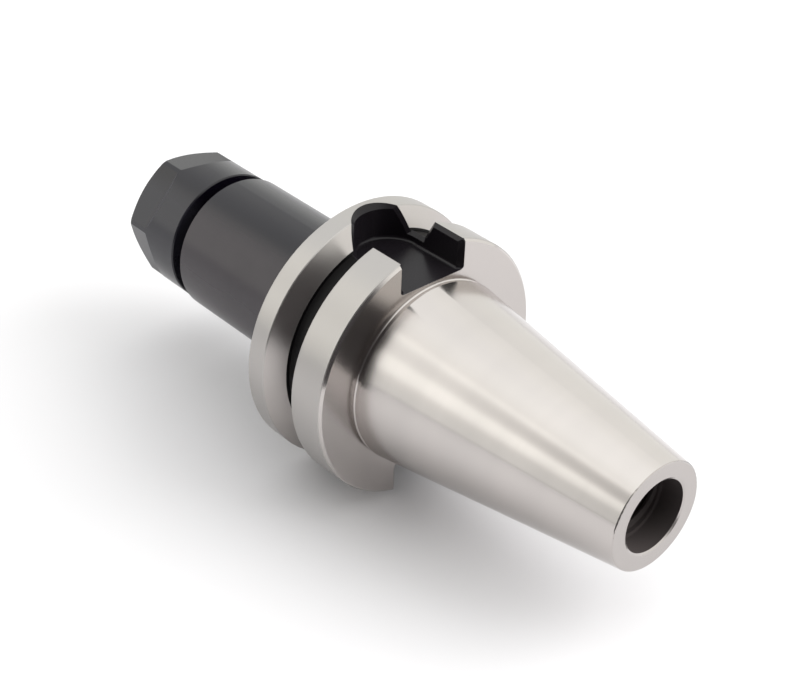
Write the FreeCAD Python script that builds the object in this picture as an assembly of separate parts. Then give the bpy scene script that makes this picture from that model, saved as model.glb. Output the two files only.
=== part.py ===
import FreeCAD, Part
import os
from math import tan, radians, sqrt, cos, sin

# ---------------------------------------------------------------------------
# Collet chuck holder with a steep-taper shank, millimetres.
# Frame: origin at the centre of the gauge plane on the axis, +X along the axis
# to the small end of the taper, +Z up through one of the two drive slots.
# Distances called "g" run from the gauge plane towards the nose, so x = -g.
# ---------------------------------------------------------------------------

# steep taper, 7 in 24 on diameter
GAUGE_D = 44.45          # diameter at the gauge plane
TAPER_LEN = 65.4         # gauge plane to the small end
TAPER_RATE = 7.0 / 24.0
END_ROUND = 0.35         # rounding of the small end's rim

# neck between taper and flange
NECK_R = 21.70
NECK_G0 = 0.50           # where the taper stops and the neck begins
NECK_FILLET = 0.45

# flange
FLANGE_R = 31.5
FLANGE_G0 = 2.0          # rear face
FLANGE_G1 = 27.0         # front face
REAR_CHAMFER = 0.7
FRONT_CHAMFER = 0.4
GROOVE_G0 = 11.60        # groove edges at the outside diameter
GROOVE_G1 = 21.60
GROOVE_FLOOR_R = 26.5
GROOVE_HALF = 30.0       # each wall leans this far from square to the axis
GROOVE_BREAK = 0.15      # tiny edge break on the groove's rims

# drive slots
SLOT_W = 16.1
SLOT_FLOOR = 22.6        # floor's distance from the axis
SLOT_END_C = 16.1        # g of the centre of the slot's round end
SLOT_CHAMFER = 1.05
SLOT_REAR_CHAMFER = 1.2  # where the walls meet the rear face
SLOT_WALL_CHAMFER = 0.7  # where the round end meets the groove's front wall
SLOT_END_Z = 30.1        # the round end's chamfer starts at this height
SLOT_END_LEAN = 0.85     # and widens by this much per millimetre above it
SLOT_FILLET = 0.8        # between floor and walls

# nose
NOSE_R = 17.4
NOSE_ROOT = 2.0          # fillet where the nose leaves the flange
NOSE_G1 = 72.3           # shoulder that faces the nut
NOSE_CHAMFER = 0.3

# threaded stub that carries the nut: M25 x 1.5, modelled at the thread's root
STUB_ROOT_R = 11.60
RELIEF_R = 11.30
RELIEF_G1 = 74.4
STUB_G1 = 86.2
STUB_CHAMFER = 0.8

# collet seat and the bores behind it
COLLET_HALF = 8.0        # half angle of collet and seat
SEAT_CLEAR = 0.06        # radial gap between seat and collet
SEAT_G0 = 61.2           # where the seat ends, inside
BORE_R = 6.55            # clearance bore behind the collet
BORE_G0 = 30.0
COOLANT_R = 4.5

# retention knob hole in the small end: pilot, then M16 x 2 at the thread's root
PILOT_R = 8.5
PILOT_LEN = 6.0
PILOT_CHAMFER_R = 0.5
PILOT_CHAMFER_L = 0.3
KNOB_ROOT_R = 8.0
KNOB_LEN = 30.0          # thread length behind the pilot

# collet, 21 mm family
COL_FRONT_G = 95.2       # front face
COL_LEN = 31.5
COL_R = 10.5             # front land
COL_CONE_LEN = 3.8       # 30 degree front cone
COL_LAND_LEN = 1.0
COL_GROOVE_LEN = 2.8
COL_GROOVE_R = 8.7
COL_TAPER_R = 10.1       # largest radius of the 8 degree body
COL_BORE_R = 5.0
COL_RELIEF_R = 5.35
COL_RELIEF_LEN = 8.0     # from the rear end
COL_SLIT_W = 0.9
COL_SLITS = 8            # from each end
COL_SLIT_STOP_REAR = 4.6 # metal left at the rear by the front slits
COL_SLIT_STOP_FRONT = 6.4

# clamping nut
NUT_G0 = 76.05           # rear face
NUT_G1 = 95.6            # front face
NUT_R = 16.9             # the hexagon's corners are turned down to this too
NUT_REAR_CHAMFER = 0.3
NUT_AF = 29.85           # across flats
NUT_TURN = 20.6          # degrees, one corner of the hexagon from +Z towards -Y
FLAT_G0 = 87.4           # where the flats end at the rear
FLAT_RUNOUT = 36.0       # their run-out slope
NUT_FRONT_R = 14.1       # front face's outer radius
NUT_FRONT_LEAN = 35.0    # chamfer behind the front face, degrees off square
NUT_MOUTH_R = 8.95
NUT_SEAT_CLEAR = 0.06
NUT_THREAD_R = 12.60     # thread's root in the nut
NUT_ENTRY_R = 13.2       # entry chamfer at the rear
LIP_G0 = 87.95           # eccentric extraction lip
LIP_G1 = 90.15
LIP_R = 10.25
LIP_OFF = 1.10

X = FreeCAD.Vector(1, 0, 0)
Z = FreeCAD.Vector(0, 0, 1)
O = FreeCAD.Vector(0, 0, 0)


def revolve(items):
    """Solid of revolution about X from the corners of its axial section, each
    (g, r), or (g, r, radius) where the corner is rounded."""
    pts = [(p[0], p[1]) for p in items]
    rad = [p[2] if len(p) > 2 else 0.0 for p in items]
    n = len(pts)
    edges = []
    start = None
    last = None
    for i in range(n):
        p = FreeCAD.Vector(-pts[i][0], 0, pts[i][1])
        if rad[i] > 0:
            a = FreeCAD.Vector(-pts[i - 1][0], 0, pts[i - 1][1])
            b = FreeCAD.Vector(-pts[(i + 1) % n][0], 0, pts[(i + 1) % n][1])
            u = (a - p).normalize()
            v = (b - p).normalize()
            half = u.getAngle(v) / 2.0
            d = rad[i] / tan(half)
            t0 = p + u * d
            t1 = p + v * d
            bis = (u + v).normalize()
            mid = p + bis * (rad[i] / sin(half) - rad[i])
            if last is not None:
                edges.append(Part.makeLine(last, t0))
            else:
                start = t0
            edges.append(Part.Arc(t0, mid, t1).toShape())
            last = t1
        else:
            if last is not None:
                edges.append(Part.makeLine(last, p))
            else:
                start = p
            last = p
    edges.append(Part.makeLine(last, start))
    face = Part.Face(Part.Wire(edges))
    s = face.revolve(O, X, 360)
    if s.Volume < 0:
        s.reverse()
    return s


def slot_tool(sign):
    """Drive slot: straight from the rear, full-round end, radius at the floor."""
    w = SLOT_W / 2
    x0 = -SLOT_END_C
    x1 = 6.0
    top = 40.0
    z0 = SLOT_FLOOR
    box = Part.makeBox(x1 - x0, 2 * w, top - z0, FreeCAD.Vector(x0, -w, z0))
    cyl = Part.makeCylinder(w, top - z0, FreeCAD.Vector(x0, 0, z0), Z)
    tool = box.fuse(cyl).removeSplitter()
    floor_edges = []
    for e in tool.Edges:
        if abs(e.BoundBox.ZMin - z0) < 1e-6 and abs(e.BoundBox.ZMax - z0) < 1e-6:
            if e.BoundBox.XMax > x1 - 1e-6 and e.BoundBox.XMin > x1 - 1e-6:
                continue
            floor_edges.append(e)
    tool = tool.makeFillet(SLOT_FILLET, floor_edges)
    if sign < 0:
        tool.rotate(O, X, 180)
    return tool


def rear_corner_tool(side):
    """Bevel between one wall of a drive slot and the rear face, down to the floor."""
    w = SLOT_W / 2
    a = (-FLANGE_G0 - SLOT_REAR_CHAMFER - 2.5, w - 2.5)
    b = (0.0, w + SLOT_REAR_CHAMFER + FLANGE_G0)
    n = 3.0 / sqrt(2.0)
    p = [a, b, (b[0] + n, b[1] - n), (a[0] + n, a[1] - n)]
    wire = Part.makePolygon([FreeCAD.Vector(q[0], side * q[1], SLOT_FLOOR) for q in p + p[:1]])
    tool = Part.Face(wire).extrude(FreeCAD.Vector(0, 0, 15))
    mid = FreeCAD.Vector((a[0] + b[0]) / 2, side * (a[1] + b[1]) / 2, SLOT_FLOOR)
    edge = [e for e in tool.Edges if e.CenterOfMass.distanceToPoint(mid) < 1e-6]
    return tool.makeFillet(SLOT_FILLET, edge)


def rim_edges(s):
    """Edges of the body that lie on a drive slot's wall, its floor left out."""
    w = SLOT_W / 2
    rim = []
    for e in s.Edges:
        c = e.CenterOfMass
        if not -FLANGE_G1 + 0.5 < c.x < -FLANGE_G0 + 1e-3 or abs(c.z) < SLOT_FLOOR + 0.9 * SLOT_FILLET:
            continue
        if e.BoundBox.ZLength > 3.9 and e.BoundBox.XLength < 1e-6 and e.BoundBox.YLength < 1e-6:
            continue
        on_wall = True
        for q in e.discretize(9):
            if q.x > -SLOT_END_C:
                d = abs(abs(q.y) - w)
            else:
                d = abs(sqrt((q.x + SLOT_END_C) ** 2 + q.y ** 2) - w)
            if d > 2e-3:
                on_wall = False
                break
        if on_wall:
            rim.append(e)
    return rim


def make_body():
    t = tan(radians(GROOVE_HALF))
    gf0 = GROOVE_G0 + (FLANGE_R - GROOVE_FLOOR_R) * t
    gf1 = GROOVE_G1 - (FLANGE_R - GROOVE_FLOOR_R) * t
    r_end = GAUGE_D / 2 - TAPER_LEN * TAPER_RATE / 2
    r_neck = GAUGE_D / 2 + NECK_G0 * TAPER_RATE / 2
    b = GROOVE_BREAK
    col_r0 = COL_TAPER_R + SEAT_CLEAR
    col_g0 = COL_FRONT_G - COL_CONE_LEN - COL_LAND_LEN - COL_GROOVE_LEN
    k = tan(radians(COLLET_HALF))
    seat = lambda g: col_r0 - (col_g0 - g) * k
    outer = [
        (-TAPER_LEN, PILOT_R + PILOT_CHAMFER_R),
        (-TAPER_LEN, r_end, END_ROUND),
        (NECK_G0 - 0.2, r_neck - 0.03),
        (NECK_G0, r_neck - 0.25),
        (NECK_G0 + 0.15, NECK_R),
        (FLANGE_G0, NECK_R, NECK_FILLET),
        (FLANGE_G0, FLANGE_R),
        (GROOVE_G0, FLANGE_R),
        (gf0, GROOVE_FLOOR_R),
        (gf1, GROOVE_FLOOR_R),
        (GROOVE_G1, FLANGE_R),
        (FLANGE_G1, FLANGE_R),
        (FLANGE_G1, NOSE_R, NOSE_ROOT),
        (NOSE_G1 - NOSE_CHAMFER, NOSE_R),
        (NOSE_G1, NOSE_R - NOSE_CHAMFER),
        (NOSE_G1, RELIEF_R, 0.4),
        (RELIEF_G1 - 0.4, RELIEF_R),
        (RELIEF_G1, STUB_ROOT_R),
        (STUB_G1 - STUB_CHAMFER, STUB_ROOT_R),
        (STUB_G1, STUB_ROOT_R - STUB_CHAMFER),
        (STUB_G1, seat(STUB_G1) + 0.25),
        (STUB_G1 - 0.35, seat(STUB_G1 - 0.35)),
        (SEAT_G0, seat(SEAT_G0)),
        (SEAT_G0, BORE_R + 0.0001) if seat(SEAT_G0) > BORE_R + 0.001 else (SEAT_G0 - 0.2, BORE_R),
        (BORE_G0, BORE_R),
        (BORE_G0 - (BORE_R - COOLANT_R), COOLANT_R),
        (-TAPER_LEN + PILOT_LEN + KNOB_LEN + (KNOB_ROOT_R - COOLANT_R) * 0.6, COOLANT_R),
        (-TAPER_LEN + PILOT_LEN + KNOB_LEN, KNOB_ROOT_R),
        (-TAPER_LEN + PILOT_LEN, KNOB_ROOT_R),
        (-TAPER_LEN + PILOT_LEN - 0.35, PILOT_R),
        (-TAPER_LEN + PILOT_CHAMFER_L, PILOT_R),
    ]
    s = revolve(outer)
    s = s.cut(slot_tool(1)).cut(slot_tool(-1))
    # chamfers along the slots' rims: wherever a slot wall meets the flange's
    # outside or its groove
    g_wall = (gf1 + GROOVE_G1) / 2
    near = lambda e: abs(-e.CenterOfMass.x - g_wall) < 1.2
    ahead = lambda e: -e.CenterOfMass.x > GROOVE_G1 - 0.1
    s = s.makeChamfer(SLOT_CHAMFER, [e for e in rim_edges(s) if not near(e) and not ahead(e)])
    s = s.makeChamfer(SLOT_WALL_CHAMFER, [e for e in rim_edges(s) if near(e)])
    # the round end's chamfer on the outside is a cone at one height
    w = SLOT_W / 2
    h = 2.5
    for turn in (0, 180):
        cone = Part.makeCone(w, w + h * SLOT_END_LEAN, h, FreeCAD.Vector(-SLOT_END_C, 0, SLOT_END_Z), Z)
        cone.rotate(O, X, turn)
        s = s.cut(cone)
    # bevels between the slots' walls and the rear face
    for turn in (0, 180):
        for side in (1, -1):
            tool = rear_corner_tool(side)
            tool.rotate(O, X, turn)
            s = s.cut(tool)
    # edge breaks turned all the way round the flange
    rings = [
        [(FLANGE_G0, FLANGE_R - REAR_CHAMFER), (FLANGE_G0 + REAR_CHAMFER, FLANGE_R),
         (FLANGE_G0 + REAR_CHAMFER, FLANGE_R + 1), (FLANGE_G0 - 1, FLANGE_R + 1),
         (FLANGE_G0 - 1, FLANGE_R - REAR_CHAMFER)],
        [(FLANGE_G1, FLANGE_R - FRONT_CHAMFER), (FLANGE_G1 - FRONT_CHAMFER, FLANGE_R),
         (FLANGE_G1 - FRONT_CHAMFER, FLANGE_R + 1), (FLANGE_G1 + 1, FLANGE_R + 1),
         (FLANGE_G1 + 1, FLANGE_R - FRONT_CHAMFER)],
        [(GROOVE_G0 - b, FLANGE_R), (GROOVE_G0 + b * t, FLANGE_R - b),
         (GROOVE_G0 + b * t, FLANGE_R + 1), (GROOVE_G0 - b, FLANGE_R + 1)],
        [(GROOVE_G1 + b, FLANGE_R), (GROOVE_G1 - b * t, FLANGE_R - b),
         (GROOVE_G1 - b * t, FLANGE_R + 1), (GROOVE_G1 + b, FLANGE_R + 1)],
    ]
    for ring in rings:
        s = s.cut(revolve(ring))
    return s


def make_nut():
    k30 = tan(radians(30.0))
    g_land = COL_FRONT_G - COL_CONE_LEN
    # radius of the nut's seat at g, a little outside the collet's front cone
    seat = lambda g: COL_R - (g - g_land) * k30 + NUT_SEAT_CLEAR / cos(radians(30.0))
    g_mouth = g_land + (COL_R + NUT_SEAT_CLEAR / cos(radians(30.0)) - NUT_MOUTH_R) / k30
    g_edge = NUT_G1 - (NUT_R - NUT_FRONT_R) * tan(radians(NUT_FRONT_LEAN))
    land = COL_R + 0.35
    prof = [
        (NUT_G0, NUT_ENTRY_R),
        (NUT_G0, NUT_R - NUT_REAR_CHAMFER),
        (NUT_G0 + NUT_REAR_CHAMFER, NUT_R),
        (g_edge, NUT_R),
        (NUT_G1, NUT_FRONT_R),
        (NUT_G1, NUT_MOUTH_R + 0.3),
        (NUT_G1 - 0.3, NUT_MOUTH_R),
        (g_mouth, NUT_MOUTH_R),
        (g_land + 0.55, seat(g_land + 0.55)),
        (g_land + 0.1, land),
        (LIP_G0 - 0.5, land),
        (LIP_G0 - 0.5, NUT_THREAD_R),
        (NUT_G0 + (NUT_ENTRY_R - NUT_THREAD_R), NUT_THREAD_R),
    ]
    s = revolve(prof)
    # extraction lip: a ring with an eccentric hole
    ring = Part.makeCylinder(NUT_THREAD_R + 0.3, LIP_G1 - LIP_G0, FreeCAD.Vector(-LIP_G1, 0, 0), X)
    hole = Part.makeCylinder(LIP_R, 40, FreeCAD.Vector(-LIP_G1 - 10, LIP_OFF, 0), X)
    s = s.fuse(ring.cut(hole))
    s = s.removeSplitter()
    # six flats with a sloping run-out behind
    h = NUT_AF / 2
    d = 6.0
    run = d / tan(radians(FLAT_RUNOUT))
    for i in range(6):
        a = NUT_TURN + 30 + 60 * i
        w = 30.0
        p = [(-FLAT_G0, h), (-FLAT_G0 + run, h + d), (-NUT_G1 - 5, h + d), (-NUT_G1 - 5, h)]
        f = Part.Face(Part.makePolygon([FreeCAD.Vector(q[0], -w / 2, q[1]) for q in p + p[:1]]))
        tool = f.extrude(FreeCAD.Vector(0, w, 0))
        tool.rotate(O, X, a)      # +Z turns towards -Y
        s = s.cut(tool)
    return s


def make_collet():
    g0 = COL_FRONT_G
    g1 = g0 - COL_CONE_LEN
    g2 = g1 - COL_LAND_LEN
    g3 = g2 - COL_GROOVE_LEN
    g4 = g0 - COL_LEN
    k30 = tan(radians(30.0))
    k = tan(radians(COLLET_HALF))
    r_end = COL_TAPER_R - (g3 - g4) * k
    prof = [
        (g0, COL_BORE_R + 0.35),
        (g0, COL_R - COL_CONE_LEN * k30),
        (g1, COL_R),
        (g2, COL_R),
        (g2, COL_GROOVE_R, 0.3),
        (g3, COL_GROOVE_R, 0.3),
        (g3, COL_TAPER_R - 0.3),
        (g3 - 0.3, COL_TAPER_R - 0.3 * k),
        (g4 + 0.3, r_end + 0.3 * k),
        (g4, r_end - 0.3),
        (g4, COL_RELIEF_R),
        (g4 + COL_RELIEF_LEN, COL_RELIEF_R),
        (g4 + COL_RELIEF_LEN + 0.3, COL_BORE_R),
        (g0 - 0.35, COL_BORE_R),
    ]
    s = revolve(prof)
    w = COL_SLIT_W
    r_in = COL_BORE_R - 0.6
    for i in range(COL_SLITS):
        a = 360.0 / COL_SLITS * i
        # from the front, ending in a small round hole
        L = COL_LEN - COL_SLIT_STOP_REAR
        box = Part.makeBox(L + 2, w, 12, FreeCAD.Vector(-g0 - 2, -w / 2, r_in))
        box.rotate(O, X, a)
        s = s.cut(box)
        # from the rear, half a step round
        L = COL_LEN - COL_SLIT_STOP_FRONT
        box = Part.makeBox(L + 2, w, 12, FreeCAD.Vector(-g4 - L, -w / 2, r_in))
        box.rotate(O, X, a + 180.0 / COL_SLITS)
        s = s.cut(box)
    return s


def main():
    os.makedirs("parts", exist_ok=True)
    made = {"holder_body": make_body(), "clamping_nut": make_nut(), "collet": make_collet()}
    total = 0.0
    moment = 0.0
    for name, shape in made.items():
        solid = shape.Solids[0]
        total += solid.Volume
        moment += solid.Volume * solid.CenterOfMass.x
        print(name, "solids", len(shape.Solids), "valid", solid.isValid(),
              "volume", round(solid.Volume / 1000, 3), "cm3")
        solid.exportStep(os.path.join("parts", name + ".step"))
    print("centre of mass x", round(moment / total, 2), "mass at 7.85", round(total * 7.85e-6, 3), "kg")


main()
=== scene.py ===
import math
import bpy
from mathutils import Matrix, Vector


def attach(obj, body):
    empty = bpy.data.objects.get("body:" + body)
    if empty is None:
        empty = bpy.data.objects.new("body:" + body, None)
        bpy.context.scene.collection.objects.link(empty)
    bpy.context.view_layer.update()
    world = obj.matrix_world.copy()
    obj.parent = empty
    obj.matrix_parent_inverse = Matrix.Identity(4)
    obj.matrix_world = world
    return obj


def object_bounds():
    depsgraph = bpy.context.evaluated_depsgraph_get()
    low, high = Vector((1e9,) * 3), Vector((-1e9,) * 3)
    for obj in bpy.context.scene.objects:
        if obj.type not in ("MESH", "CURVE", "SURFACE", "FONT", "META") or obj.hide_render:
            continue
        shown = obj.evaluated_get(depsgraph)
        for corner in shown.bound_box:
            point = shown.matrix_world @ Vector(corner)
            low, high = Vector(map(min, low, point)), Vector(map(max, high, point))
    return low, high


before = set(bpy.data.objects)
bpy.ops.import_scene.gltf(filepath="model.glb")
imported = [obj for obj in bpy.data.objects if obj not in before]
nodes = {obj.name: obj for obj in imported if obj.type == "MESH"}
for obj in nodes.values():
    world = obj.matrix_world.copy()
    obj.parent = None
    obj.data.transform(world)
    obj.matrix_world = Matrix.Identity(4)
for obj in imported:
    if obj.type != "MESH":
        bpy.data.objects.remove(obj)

cad_lo, cad_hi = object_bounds()
scene = bpy.context.scene

MM = 0.001


# ---------------------------------------------------------------------------
# small helpers for node trees
# ---------------------------------------------------------------------------
class Tree:
    def __init__(self, tree):
        self.t = tree
        self.x = -1800

    def node(self, kind, **props):
        n = self.t.nodes.new(kind)
        n.location = (self.x, 0)
        self.x += 40
        for k, v in props.items():
            setattr(n, k, v)
        return n

    def put(self, socket, value):
        if isinstance(value, bpy.types.NodeSocket):
            self.t.links.new(value, socket)
        else:
            socket.default_value = value

    def math(self, op, a, b=None, c=None, clamp=False):
        n = self.node("ShaderNodeMath", operation=op, use_clamp=clamp)
        self.put(n.inputs[0], a)
        if b is not None:
            self.put(n.inputs[1], b)
        if c is not None:
            self.put(n.inputs[2], c)
        return n.outputs[0]

    def step(self, value, edge, soft):
        """0 below edge, 1 above it, with a soft change of that width."""
        n = self.node("ShaderNodeMapRange", interpolation_type="SMOOTHSTEP")
        self.put(n.inputs["Value"], value)
        n.inputs["From Min"].default_value = edge - soft / 2
        n.inputs["From Max"].default_value = edge + soft / 2
        return n.outputs["Result"]

    def ramp(self, value, lo, hi, out_lo, out_hi):
        n = self.node("ShaderNodeMapRange", clamp=True)
        self.put(n.inputs["Value"], value)
        n.inputs["From Min"].default_value = lo
        n.inputs["From Max"].default_value = hi
        n.inputs["To Min"].default_value = out_lo
        n.inputs["To Max"].default_value = out_hi
        return n.outputs["Result"]

    def mix(self, f, a, b):
        n = self.node("ShaderNodeMix", data_type="RGBA")
        self.put(n.inputs[0], f)
        self.put(n.inputs[6], a)
        self.put(n.inputs[7], b)
        return n.outputs[2]

    def fmix(self, f, a, b):
        n = self.node("ShaderNodeMix", data_type="FLOAT")
        self.put(n.inputs[0], f)
        self.put(n.inputs[2], a)
        self.put(n.inputs[3], b)
        return n.outputs[0]

    def curve(self, value, stops):
        n = self.node("ShaderNodeValToRGB")
        self.put(n.inputs[0], value)
        e = n.color_ramp.elements
        while len(e) > 1:
            e.remove(e[-1])
        e[0].position, e[0].color = stops[0][0], stops[0][1]
        for pos, col in stops[1:]:
            k = e.new(pos)
            k.color = col
        return n.outputs[0]

    def noise(self, vector, scale, detail=2.0, rough=0.5):
        n = self.node("ShaderNodeTexNoise")
        self.put(n.inputs["Vector"], vector)
        n.inputs["Scale"].default_value = scale
        n.inputs["Detail"].default_value = detail
        n.inputs["Roughness"].default_value = rough
        return n.outputs[0]

    def stretch(self, vector, sx, sy, sz):
        n = self.node("ShaderNodeVectorMath", operation="MULTIPLY")
        self.put(n.inputs[0], vector)
        n.inputs[1].default_value = (sx, sy, sz)
        return n.outputs[0]


def grey(v, a=1.0):
    return (v, v, v, a)


def material(name):
    m = bpy.data.materials.new(name)
    m.use_nodes = True
    t = m.node_tree
    t.nodes.clear()
    out = t.nodes.new("ShaderNodeOutputMaterial")
    b = t.nodes.new("ShaderNodeBsdfPrincipled")
    t.links.new(b.outputs[0], out.inputs[0])
    k = Tree(t)
    co = t.nodes.new("ShaderNodeTexCoord")
    sep = t.nodes.new("ShaderNodeSeparateXYZ")
    t.links.new(co.outputs["Object"], sep.inputs[0])
    x, y, z = sep.outputs
    r = k.math("SQRT", k.math("ADD", k.math("MULTIPLY", y, y), k.math("MULTIPLY", z, z)))
    return m, k, b, co.outputs["Object"], x, y, z, r


# base colours; the black finish is a dark oxide under a clear film of oil
STEEL_A = (0.531, 0.498, 0.480, 1)
STEEL_B = (0.510, 0.480, 0.463, 1)
LIP_STEEL = (0.436, 0.418, 0.403, 1)
END_STEEL = (0.468, 0.438, 0.423, 1)
BLUE_BLACK = (0.0028, 0.0018, 0.0052, 1)
# painted light: this paler tone of the black goes on the body's side that faces the soft panel
LIT_SIDE_BROWN_BLACK = (0.0315, 0.0250, 0.0305, 1)
# painted light: the nut's paler tone of the black, on the side that faces the soft panel
NUT_LIT_SIDE_BLACK = (0.0165, 0.0160, 0.0225, 1)
# painted shade: near-black for the bottom of the groove, darker than the black finish elsewhere
GROOVE_BOTTOM_SHADE_BLACK = (0.0022, 0.0018, 0.0022, 1)
SLOT_BLACK = (0.0085, 0.0070, 0.0090, 1)
BORE_BROWN = (0.070, 0.060, 0.059, 1)


def marks(k, obj):
    """Fine turning and grinding marks that run round the axis, and slow changes."""
    fine = k.noise(k.stretch(obj, 5200, 26, 26), 1.0, 3.0, 0.6)
    slow = k.noise(k.stretch(obj, 120, 18, 18), 1.0, 2.0, 0.5)
    return fine, slow


def oxide_with_painted_lit_side(k, obj, y, z, r, lit_side_colour):
    """Black finish: painted paler along one side, as painted light from the soft panel on that side, blue-black round
    the rest, and clouded.
    """
    cloud = k.noise(obj, 55.0, 3.0, 0.55)
    a = math.radians(85.0)      # from +Z towards -Y
    turn = k.math("DIVIDE", k.math("SUBTRACT", k.math("MULTIPLY", z, math.cos(a)), k.math("MULTIPLY", y, math.sin(a))), r)
    # painted light: the side towards -Y, which faces the soft panel, gets the paler colour
    lit_side = k.step(turn, 0.66, 0.30)
    lit_side = k.math("MULTIPLY", lit_side, k.ramp(cloud, 0.3, 0.7, 0.75, 1.2), clamp=True)
    return cloud, k.mix(lit_side, BLUE_BLACK, lit_side_colour)


def along_axis(k, b, amount):
    """Stretch the gloss along the axis, square to the marks."""
    b.inputs["Anisotropic"].default_value = amount
    b.inputs["Anisotropic Rotation"].default_value = 0.25
    tan = k.node("ShaderNodeTangent", direction_type="RADIAL", axis="X")
    k.put(b.inputs["Tangent"], tan.outputs[0])


def make_body_material():
    m, k, b, obj, x, y, z, r = material("body_steel_and_black")
    fine, slow = marks(k, obj)
    cloud, dark = oxide_with_painted_lit_side(k, obj, y, z, r, LIT_SIDE_BROWN_BLACK)
    below = lambda v, edge, soft: k.math("SUBTRACT", 1.0, k.step(v, edge * MM, soft * MM))
    above = lambda v, edge, soft: k.step(v, edge * MM, soft * MM)
    both = lambda *v: v[0] if len(v) == 1 else k.math("MULTIPLY", v[0], both(*v[1:]))

    # where the body keeps its black finish: nose and stub, bottom and rear wall of
    # the groove, both drive slots, and the bores
    nose = both(below(x, -26.62, 0.06), below(r, 31.02, 0.08))
    bottom = both(above(x, -21.5, 0.1), below(x, -11.8, 0.1), below(r, 26.95, 0.12))
    rear_wall = both(above(x, -15.6, 0.1), below(x, -11.58, 0.03), below(r, 31.40, 0.05))
    # slot outline: straight part and round end; cone: how far a point is in front of
    # the groove's front wall
    back = k.math("MINIMUM", k.math("ADD", x, 16.1 * MM), 0.0)
    d = k.math("SQRT", k.math("ADD", k.math("MULTIPLY", back, back), k.math("MULTIPLY", y, y)))
    lean = math.tan(math.radians(30.0))
    cone = k.math("SUBTRACT", k.math("SUBTRACT", (31.5 * lean - 21.6) * MM, x), k.math("MULTIPLY", r, lean))
    # in front of that wall: the bevel round the top of the round end, and the bevel
    # where the end meets the wall
    tall = k.math("MAXIMUM", k.math("SUBTRACT", k.math("ABSOLUTE", z), 30.1 * MM), 0.0)
    past = k.math("SUBTRACT", d, k.math("MULTIPLY", tall, 0.85))
    ahead = k.math("MAXIMUM", below(past, 8.13, 0.04), both(below(d, 8.98, 0.05), below(cone, 0.86, 0.04), below(r, 31.30, 0.04)))
    ahead = both(ahead, above(cone, 0.04, 0.03))
    behind = both(below(d, 9.13, 0.05), below(cone, -0.04, 0.03), below(x, -2.03, 0.02))
    side = k.math("ABSOLUTE", y)
    bevel = both(below(side, 9.30, 0.04), above(x, -3.35, 0.04), below(x, -2.03, 0.02))
    slot = both(k.math("MAXIMUM", k.math("MAXIMUM", ahead, behind), bevel), below(r, 31.46, 0.03),
                above(k.math("ABSOLUTE", z), 22.56, 0.04))
    bore = both(below(r, 8.53, 0.04), above(x, -60.0, 0.1))
    black = nose
    for part in (bottom, rear_wall, slot, bore):
        black = k.math("MAXIMUM", black, part)
    # the collet seat in the stub is ground
    seat = both(below(r, 10.3, 0.05), below(x, -61.3, 0.05))
    black = k.math("MULTIPLY", black, k.math("SUBTRACT", 1.0, seat), clamp=True)

    # the groove's bottom is painted near-black, as painted shade in that narrow recess; the oxide is a little thinner
    # in the slots; the bores carry a dull brown skin
    dark = k.mix(bottom, dark, GROOVE_BOTTOM_SHADE_BLACK)
    dark = k.mix(slot, dark, SLOT_BLACK)
    dark = k.mix(bore, dark, BORE_BROWN)

    steel = k.mix(k.ramp(slow, 0.3, 0.7, 0.0, 1.0), STEEL_A, STEEL_B)
    lip = above(r, 31.3, 0.1)
    steel = k.mix(lip, steel, LIP_STEEL)
    steel = k.mix(above(x, 65.15, 0.1), steel, END_STEEL)
    k.put(b.inputs["Base Color"], k.mix(black, steel, dark))
    k.put(b.inputs["Metallic"], k.math("SUBTRACT", 1.0, black))
    rs = k.math("ADD", k.ramp(slow, 0.3, 0.7, 0.170, 0.190), k.ramp(fine, 0.3, 0.7, -0.01, 0.01))
    rs = k.fmix(lip, rs, 0.34)
    # the groove's front wall is turned, not ground
    rs = k.fmix(both(below(x, -17.0, 0.1), above(r, 26.9, 0.1), below(r, 31.3, 0.1)), rs, 0.34)
    rb = k.ramp(cloud, 0.3, 0.7, 0.30, 0.35)
    rb = k.fmix(bore, rb, 0.55)
    k.put(b.inputs["Roughness"], k.fmix(black, rs, rb))
    b.inputs["Specular IOR Level"].default_value = 0.0
    # oil film: on the black finish only, thin at the groove's bottom and in the slots
    film = k.math("MULTIPLY", k.math("MULTIPLY", black, 0.95), k.math("SUBTRACT", 1.0, bore), clamp=True)
    thin = k.fmix(slot, k.math("MULTIPLY", bottom, 0.75), 0.45)
    film = k.math("MULTIPLY", film, k.math("SUBTRACT", 1.0, thin))
    k.put(b.inputs["Coat Weight"], film)
    b.inputs["Coat Roughness"].default_value = 0.25
    b.inputs["Coat IOR"].default_value = 1.5
    along_axis(k, b, 0.85)
    bump = k.node("ShaderNodeBump")
    bump.inputs["Strength"].default_value = 0.02
    bump.inputs["Distance"].default_value = 0.0001
    k.put(bump.inputs["Height"], fine)
    k.put(b.inputs["Normal"], bump.outputs[0])
    return m


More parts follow.
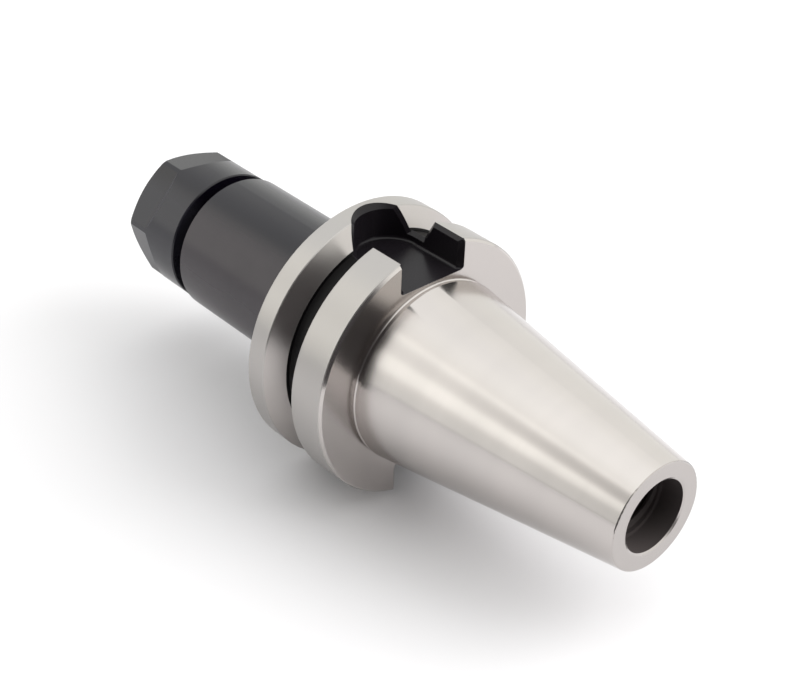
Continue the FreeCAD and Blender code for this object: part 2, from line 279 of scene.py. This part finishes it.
def make_black_material(name):
    m, k, b, obj, x, y, z, r = material(name)
    fine, slow = marks(k, obj)
    cloud, dark = oxide_with_painted_lit_side(k, obj, y, z, r, NUT_LIT_SIDE_BLACK)
    # how far a point lies out from the nearest of the six flats' directions
    out = None
    for i in range(3):
        a = math.radians(50.6 + 60.0 * i)      # from +Z towards -Y
        v = k.math("ABSOLUTE", k.math("SUBTRACT", k.math("MULTIPLY", z, math.cos(a)), k.math("MULTIPLY", y, math.sin(a))))
        out = v if out is None else k.math("MAXIMUM", out, v)
    # the sloping run-outs behind the flats get a flat painted grey and no gloss, which paints over the bright line they
    # would reflect
    slope = math.tan(math.radians(36.0))
    rise = k.math("SUBTRACT", out, k.math("ADD", k.math("MULTIPLY", x, slope), (14.925 + 87.4 * slope) * MM))
    runout_painted_tone = k.math("SUBTRACT", 1.0, k.step(k.math("ABSOLUTE", rise), 0.03 * MM, 0.01 * MM))
    runout_painted_tone = k.math("MULTIPLY", runout_painted_tone, k.step(out, 14.95 * MM, 0.01 * MM))
    k.put(b.inputs["Base Color"], k.mix(runout_painted_tone, dark, (0.088, 0.086, 0.093, 1)))
    b.inputs["Metallic"].default_value = 0.0
    b.inputs["Roughness"].default_value = 0.5
    b.inputs["Specular IOR Level"].default_value = 0.0
    k.put(b.inputs["Coat Weight"], k.fmix(runout_painted_tone, 0.95, 0.0))
    b.inputs["Coat Roughness"].default_value = 0.25
    b.inputs["Coat IOR"].default_value = 1.5
    bump = k.node("ShaderNodeBump")
    bump.inputs["Strength"].default_value = 0.03
    bump.inputs["Distance"].default_value = 0.0001
    k.put(bump.inputs["Height"], fine)
    k.put(b.inputs["Normal"], bump.outputs[0])
    return m


def make_bore_material(name):
    """Dull brown-black skin on the thread inside the small end."""
    m, k, b, obj, x, y, z, r = material(name)
    cloud = k.noise(obj, 70.0, 3.0, 0.55)
    k.put(b.inputs["Base Color"], k.mix(k.ramp(cloud, 0.35, 0.65, 0.0, 1.0), (0.060, 0.051, 0.050, 1), (0.074, 0.063, 0.061, 1)))
    b.inputs["Metallic"].default_value = 0.0
    k.put(b.inputs["Roughness"], k.ramp(cloud, 0.3, 0.7, 0.60, 0.70))
    b.inputs["Specular IOR Level"].default_value = 0.2
    return m


def make_collet_material():
    m, k, b, obj, x, y, z, r = material("collet_steel")
    fine, slow = marks(k, obj)
    steel = k.mix(k.ramp(slow, 0.3, 0.7, 0.0, 1.0), (0.500, 0.475, 0.457, 1), (0.470, 0.447, 0.430, 1))
    # the bore keeps a darker skin
    skin = k.math("SUBTRACT", 1.0, k.step(r, 5.2 * MM, 0.2 * MM))
    k.put(b.inputs["Base Color"], k.mix(skin, steel, (0.30, 0.29, 0.28, 1)))
    b.inputs["Metallic"].default_value = 1.0
    k.put(b.inputs["Roughness"], k.math("ADD", k.ramp(slow, 0.3, 0.7, 0.21, 0.25), k.ramp(fine, 0.3, 0.7, -0.02, 0.02)))
    along_axis(k, b, 0.6)
    return m


def dress(obj, mat):
    obj.data.materials.clear()
    obj.data.materials.append(mat)


body_mat = make_body_material()
nut_mat = make_black_material("nut_black")
collet_mat = make_collet_material()
dress(nodes["holder_body"], body_mat)
dress(nodes["clamping_nut"], nut_mat)
dress(nodes["collet"], collet_mat)


# ---------------------------------------------------------------------------
# screw threads: helical ridges on the CAD's root cylinders
# ---------------------------------------------------------------------------
def thread(name, g0, g1, pitch, root, crest, base_half, crest_half, phase=0.0, ramp0=0.5, ramp1=0.7, per_turn=72):
    """Closed ridge along a right-hand helix about the axis, from g0 to g1 (millimetres
    in front of the gauge plane; negative is behind it). It rises from the root
    cylinder to the crest over ramp0 turns and sinks again over ramp1 turns."""
    turns = (g1 - g0) / pitch
    n = max(8, int(round(turns * per_turn)))
    sink = 0.02 if crest > root else -0.02
    verts, faces = [], []
    for i in range(n + 1):
        u = i / n
        t = u * turns
        g = g0 + t * pitch
        a = 2 * math.pi * (t + phase)
        up = min(1.0, t / ramp0, (turns - t) / ramp1)
        up = max(up, 0.0)
        up = up * up * (3 - 2 * up)
        top = root + (crest - root) * up
        half_top = base_half + (crest_half - base_half) * up
        prof = [(-base_half, root - sink), (-half_top, top), (half_top, top), (base_half, root - sink)]
        for dg, rr in prof:
            verts.append((-(g + dg) * MM, rr * math.sin(a) * MM, rr * math.cos(a) * MM))
    for i in range(n):
        p, q = 4 * i, 4 * (i + 1)
        for j in range(4):
            j2 = (j + 1) % 4
            faces.append((p + j, p + j2, q + j2, q + j))
    faces.append((0, 3, 2, 1))
    e = 4 * n
    faces.append((e, e + 1, e + 2, e + 3))
    me = bpy.data.meshes.new(name)
    me.from_pydata(verts, [], faces)
    me.validate()
    me.update()
    o = bpy.data.objects.new(name, me)
    scene.collection.objects.link(o)
    bpy.context.view_layer.update()
    import bmesh
    bm = bmesh.new()
    bm.from_mesh(me)
    bmesh.ops.recalc_face_normals(bm, faces=bm.faces)
    bm.to_mesh(me)
    bm.free()
    return o


stub_thread = thread("stub_thread", 74.75, 85.9, 1.5, 11.60, 12.42, 0.60, 0.094)
dress(stub_thread, nut_mat)
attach(stub_thread, "holder")

# the nut's ridge runs half a pitch away from the stub's
nut_thread = thread("nut_thread", 77.35, 87.2, 1.5, 12.60, 11.76, 0.66, 0.19, phase=0.35 / 1.5, ramp0=0.6, ramp1=0.4)
dress(nut_thread, nut_mat)
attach(nut_thread, "nut")

knob_thread = thread("knob_thread", -58.6, -30.2, 2.0, 8.00, 7.02, 0.82, 0.13)
dress(knob_thread, make_bore_material("bore_skin"))
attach(knob_thread, "holder")


# ---------------------------------------------------------------------------
# floor, light and camera
# ---------------------------------------------------------------------------
def floor_material():
    m = bpy.data.materials.new("floor_pale")
    m.use_nodes = True
    b = m.node_tree.nodes["Principled BSDF"]
    b.inputs["Base Color"].default_value = (0.770, 0.762, 0.780, 1)
    b.inputs["Roughness"].default_value = 0.9
    b.inputs["Specular IOR Level"].default_value = 0.1
    return m


# the table is wide behind the object and ends a little in front of it, under the camera
near = math.radians(-36.0)
bpy.ops.mesh.primitive_plane_add(size=6.0, location=(-2.83 * math.cos(near), -2.83 * math.sin(near), cad_lo.z - 0.00002),
                                 rotation=(0, 0, near))
floor = bpy.context.object
floor.name = "floor"
floor.data.materials.append(floor_material())


def make_world():
    w = bpy.data.worlds.new("studio")
    scene.world = w
    w.use_nodes = True
    t = w.node_tree
    t.nodes.clear()
    out = t.nodes.new("ShaderNodeOutputWorld")
    bg = t.nodes.new("ShaderNodeBackground")
    t.links.new(bg.outputs[0], out.inputs[0])
    k = Tree(t)
    co = t.nodes.new("ShaderNodeTexCoord")
    sep = t.nodes.new("ShaderNodeSeparateXYZ")
    t.links.new(co.outputs["Generated"], sep.inputs[0])
    x, y, z = sep.outputs
    unit = lambda az, el: (math.cos(math.radians(az)) * math.cos(math.radians(el)),
                           math.sin(math.radians(az)) * math.cos(math.radians(el)), math.sin(math.radians(el)))

    def away(az, el, near_deg, far_deg):
        """0 within near_deg of that direction, 1 beyond far_deg."""
        d = unit(az, el)
        dot = k.math("ADD", k.math("ADD", k.math("MULTIPLY", x, d[0]), k.math("MULTIPLY", y, d[1])),
                     k.math("MULTIPLY", z, d[2]))
        ang = k.math("ARCCOSINE", k.math("MINIMUM", k.math("MAXIMUM", dot, -1.0), 1.0))
        return k.step(ang, math.radians((near_deg + far_deg) / 2), math.radians(far_deg - near_deg))

    # white tent: elevation as a share of 90 degrees
    el = k.math("MULTIPLY", k.math("ARCSINE", z), 2 / math.pi)
    sky = k.curve(el, [
        (0.0, (1.285, 1.295, 1.255, 1)),
        (0.30, (1.345, 1.355, 1.31, 1)),
        (0.50, (1.40, 1.41, 1.37, 1)),
        (0.66, (1.53, 1.54, 1.50, 1)),
        (0.80, (1.665, 1.68, 1.65, 1)),
        (1.0, (1.665, 1.68, 1.65, 1)),
    ])
    # a soft panel lights one side, brightest along its far edge
    sky = k.mix(away(-138.0, 28.0, 23.0, 34.0), (1.655, 1.64, 1.575, 1), sky)
    sky = k.mix(away(-119.0, 44.0, 6.0, 15.5), (1.97, 1.98, 1.915, 1), sky)
    sky = k.mix(away(-114.0, 25.0, 5.0, 15.0), (2.00, 2.01, 1.935, 1), sky)
    # and the side across from it is a little dimmer and cooler
    sky = k.mix(away(170.0, 48.0, 6.0, 28.0), (1.22, 1.23, 1.235, 1), sky)
    sky = k.mix(away(138.0, 33.0, 4.0, 18.0), (1.15, 1.16, 1.15, 1), sky)
    # a fold in the cloth, dimmer than the rest
    sky = k.mix(away(-97.5, 44.0, 7.0, 17.3), (0.69, 0.68, 0.66, 1), sky)
    # the tent's open side, where the room behind it is dark
    sky = k.mix(away(-46.0, 5.0, 42.0, 61.0), (0.085, 0.081, 0.084, 1), sky)
    # its bottom seam on one side, a thin dark line just over the table's edge
    a = math.radians(-112.0)
    side = k.step(k.math("ADD", k.math("MULTIPLY", x, math.cos(a)), k.math("MULTIPLY", y, math.sin(a))), 0.62, 0.2)
    band = k.math("MULTIPLY", k.step(z, -0.083, 0.008), k.math("SUBTRACT", 1.0, k.step(z, -0.058, 0.008)))
    sky = k.mix(k.math("MULTIPLY", k.math("MULTIPLY", side, band), 0.4), sky, (0.30, 0.29, 0.28, 1))
    # seen directly, the tent is an even pale background
    path = t.nodes.new("ShaderNodeLightPath")
    k.put(bg.inputs["Color"], k.mix(path.outputs["Is Camera Ray"], sky, (1.0, 1.0, 1.0, 1)))
    bg.inputs["Strength"].default_value = 1.0


make_world()

# a soft lamp behind on the right lights the table
lamp = bpy.data.lights.new("table_lamp", "AREA")
lamp.shape = "SQUARE"
lamp.size = 0.8
lamp.energy = 6.6
lamp_o = bpy.data.objects.new("table_lamp", lamp)
scene.collection.objects.link(lamp_o)
spot = Vector((0.584, 0.545, 0.602))
lamp_o.matrix_world = Matrix.Translation(spot) @ spot.to_track_quat("Z", "Y").to_matrix().to_4x4()
lamp_o.visible_camera = False
lamp_o.visible_glossy = False

cam = bpy.data.cameras.new("camera")
cam_o = bpy.data.objects.new("camera", cam)
scene.collection.objects.link(cam_o)
cam.sensor_fit = "HORIZONTAL"
cam.sensor_width = 36.0
cam.lens = 36.0 * 1758.902 / 811.0
cam.shift_x = 0.0
cam.shift_y = 0.00159
cam.clip_start, cam.clip_end = 0.01, 50.0
look = Vector((-0.609904, 0.571413, -0.549094)).normalized()
up = Vector((-0.429295, 0.344183, 0.835011))
right = look.cross(up).normalized()
up = right.cross(look).normalized()
rot = Matrix((right, up, -look)).transposed()
cam_o.matrix_world = Matrix.Translation(Vector((0.2312013, -0.2258405, 0.2208344))) @ rot.to_4x4()
scene.camera = cam_o

scene.view_settings.view_transform = "Standard"
